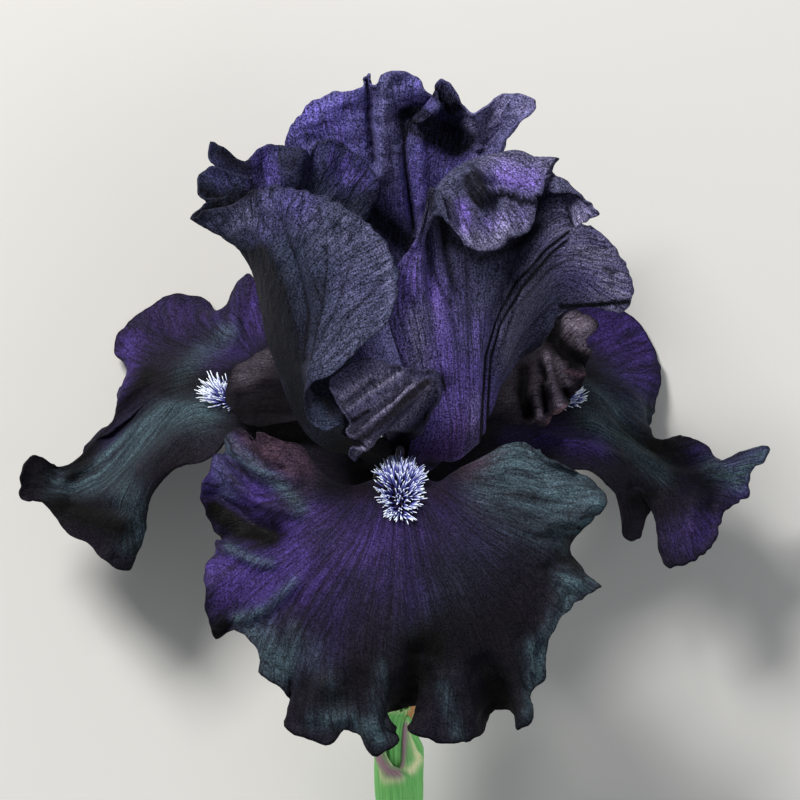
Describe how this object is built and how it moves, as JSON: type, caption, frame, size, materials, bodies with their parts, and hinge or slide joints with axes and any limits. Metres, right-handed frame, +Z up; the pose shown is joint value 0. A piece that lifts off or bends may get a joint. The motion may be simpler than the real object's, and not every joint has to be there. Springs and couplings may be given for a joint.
{
  "type": "bearded iris flower",
  "caption": "Bearded iris bloom on a short cut stem: ruffled upright standards, drooping falls with fuzzy beards, style arms, tube and bracts, lying as picked.",
  "frame": {"origin": "centre of the bounding box, on the surface that the flower lies on", "axes": "+Y along the flower from the cut stem end towards the top of the standards, +X to the right seen from above with the stem end nearest, +Z up from the surface, out through the fall that faces up"},
  "size_m": [0.1578, 0.2067, 0.0893],
  "materials": {
    "fall_petal": "velvety near-black violet with a blue-grey sheen and fine dark veins",
    "standard_petal": "satin slate violet with fine dark veins and a pale grain",
    "style_petal": "satin plum brown with lilac edges",
    "beard_hair": "soft hairs, violet-blue at the base and near white at the tips",
    "stamen": "matt cream anther on a pale lilac filament",
    "perianth": "waxy green tube and ovary, flushed purple at the top",
    "bract": "papery green bract with mauve edges and a cream and brown tip",
    "stem": "smooth waxy green stem"
  },
  "bodies": {
    "root": {"fall_front": "fall_petal", "fall_left": "fall_petal", "fall_right": "fall_petal", "standard_left": "standard_petal", "standard_right": "standard_petal", "standard_back": "standard_petal", "style_arm_front": "style_petal", "style_arm_left": "style_petal", "style_arm_right": "style_petal", "beard_front": "beard_hair", "beard_left": "beard_hair", "beard_right": "beard_hair", "stamen_front": "stamen", "stamen_left": "stamen", "stamen_right": "stamen", "perianth_tube": "perianth", "bract_outer": "bract", "bract_inner": "bract", "stem": "stem"}
  },
  "joints": []
}
